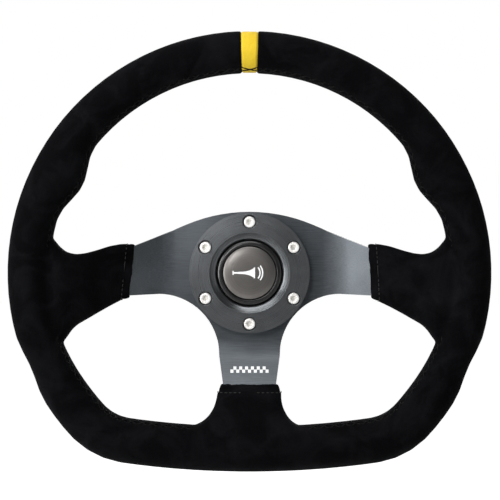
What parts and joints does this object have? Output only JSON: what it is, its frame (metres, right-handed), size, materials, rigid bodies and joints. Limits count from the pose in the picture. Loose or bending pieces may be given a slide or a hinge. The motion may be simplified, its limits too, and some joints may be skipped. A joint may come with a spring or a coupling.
{
  "type": "quick release steering wheel",
  "caption": "Flat-bottomed three-spoke steering wheel with suede grip, centre mark, horn button and a ball-lock quick-release coupler behind the hub.",
  "frame": {"origin": "on the steering axis, in the plane of the coupler's rear seat, where the steering column's hub touches it", "axes": "+Y along the steering axis towards the dashboard, so the driver looks along +Y; +X to the driver's right; +Z towards the top of the wheel, where the centre mark is"},
  "size_m": [0.3186, 0.0953, 0.2898],
  "materials": {
    "black_suede": "soft brushed suede, nearly black",
    "yellow_leather": "soft yellow suede",
    "moulded_foam": "moulded polyurethane foam, skinned",
    "plain_steel": "plain rolled steel",
    "black_brushed_aluminium": "brushed crosswise, anodised black",
    "black_anodised_aluminium": "turned, anodised black",
    "grey_anodised_aluminium": "turned, anodised dark grey",
    "stainless_steel": "bright stainless steel",
    "black_plastic": "satin black moulding",
    "dark_badge_metal": "dark anodised, slightly domed",
    "brass": "bare brass",
    "spring_steel": "dark spring steel",
    "black_rubber": "matt black"
  },
  "bodies": {
    "wheel": {"suede_cover": "black_suede", "centre_mark": "yellow_leather", "rim_foam": "moulded_foam", "rim_hoop": "plain_steel", "rim_rivet_right_upper": "plain_steel", "rim_rivet_right_lower": "plain_steel", "rim_rivet_left_upper": "plain_steel", "rim_rivet_left_lower": "plain_steel", "rim_rivet_bottom_left": "plain_steel", "rim_rivet_bottom_right": "plain_steel", "spoke_plate": "black_brushed_aluminium", "horn_ring": "black_anodised_aluminium", "coupler_body": "grey_anodised_aluminium", "hub_screw_1": "stainless_steel", "hub_screw_2": "stainless_steel", "hub_screw_3": "stainless_steel", "hub_screw_4": "stainless_steel", "hub_screw_5": "stainless_steel", "hub_screw_6": "stainless_steel", "horn_base": "black_plastic", "horn_bezel": "black_plastic", "contact_carrier": "black_plastic", "fixed_contact": "brass", "horn_terminal_signal": "brass", "horn_terminal_ground": "brass", "horn_spring": "spring_steel", "sleeve_spring": "spring_steel", "contact_spring_upper": "spring_steel", "contact_spring_lower": "spring_steel", "retaining_clip": "spring_steel", "horn_seal": "black_rubber"},
    "horn_button": {"horn_cap": "black_plastic", "horn_badge": "dark_badge_metal", "moving_contact": "brass"},
    "release_sleeve": {"release_sleeve": "black_anodised_aluminium"},
    "contact_pin_upper": {"contact_pin_upper": "brass"},
    "contact_pin_lower": {"contact_pin_lower": "brass"},
    "lock_ball_1": {"lock_ball_1": "stainless_steel"},
    "lock_ball_2": {"lock_ball_2": "stainless_steel"},
    "lock_ball_3": {"lock_ball_3": "stainless_steel"},
    "lock_ball_4": {"lock_ball_4": "stainless_steel"},
    "lock_ball_5": {"lock_ball_5": "stainless_steel"},
    "lock_ball_6": {"lock_ball_6": "stainless_steel"}
  },
  "joints": [
    {"name": "horn_press", "type": "slide", "parent": "wheel", "child": "horn_button", "axis": [0, 1, 0], "range_m": [0, 0.0025], "stiffness_N_per_m": 2000, "springref_m": -0.001, "deforming": ["horn_spring"]},
    {"name": "sleeve_pull", "type": "slide", "parent": "wheel", "child": "release_sleeve", "axis": [0, -1, 0], "range_m": [0, 0.007], "stiffness_N_per_m": 1500, "springref_m": -0.004, "deforming": ["sleeve_spring"]},
    {"name": "contact_pin_upper_press", "type": "slide", "parent": "wheel", "child": "contact_pin_upper", "axis": [0, -1, 0], "range_m": [0, 0.0015], "stiffness_N_per_m": 400, "springref_m": -0.0008, "deforming": ["contact_spring_upper"]},
    {"name": "contact_pin_lower_press", "type": "slide", "parent": "wheel", "child": "contact_pin_lower", "axis": [0, -1, 0], "range_m": [0, 0.0015], "stiffness_N_per_m": 400, "springref_m": -0.0008, "deforming": ["contact_spring_lower"]},
    {"name": "lock_ball_1_release", "type": "slide", "parent": "wheel", "child": "lock_ball_1", "axis": [1, 0, 0], "range_m": [0, 0.002]},
    {"name": "lock_ball_2_release", "type": "slide", "parent": "wheel", "child": "lock_ball_2", "axis": [0.5, 0, 0.866], "range_m": [0, 0.002]},
    {"name": "lock_ball_3_release", "type": "slide", "parent": "wheel", "child": "lock_ball_3", "axis": [-0.5, 0, 0.866], "range_m": [0, 0.002]},
    {"name": "lock_ball_4_release", "type": "slide", "parent": "wheel", "child": "lock_ball_4", "axis": [-1, 0, 0], "range_m": [0, 0.002]},
    {"name": "lock_ball_5_release", "type": "slide", "parent": "wheel", "child": "lock_ball_5", "axis": [-0.5, 0, -0.866], "range_m": [0, 0.002]},
    {"name": "lock_ball_6_release", "type": "slide", "parent": "wheel", "child": "lock_ball_6", "axis": [0.5, 0, -0.866], "range_m": [0, 0.002]}
  ],
  "couplings": [
    {"joint": "lock_ball_1_release", "follows": "sleeve_pull", "ratio": 0.28571},
    {"joint": "lock_ball_2_release", "follows": "sleeve_pull", "ratio": 0.28571},
    {"joint": "lock_ball_3_release", "follows": "sleeve_pull", "ratio": 0.28571},
    {"joint": "lock_ball_4_release", "follows": "sleeve_pull", "ratio": 0.28571},
    {"joint": "lock_ball_5_release", "follows": "sleeve_pull", "ratio": 0.28571},
    {"joint": "lock_ball_6_release", "follows": "sleeve_pull", "ratio": 0.28571}
  ]
}
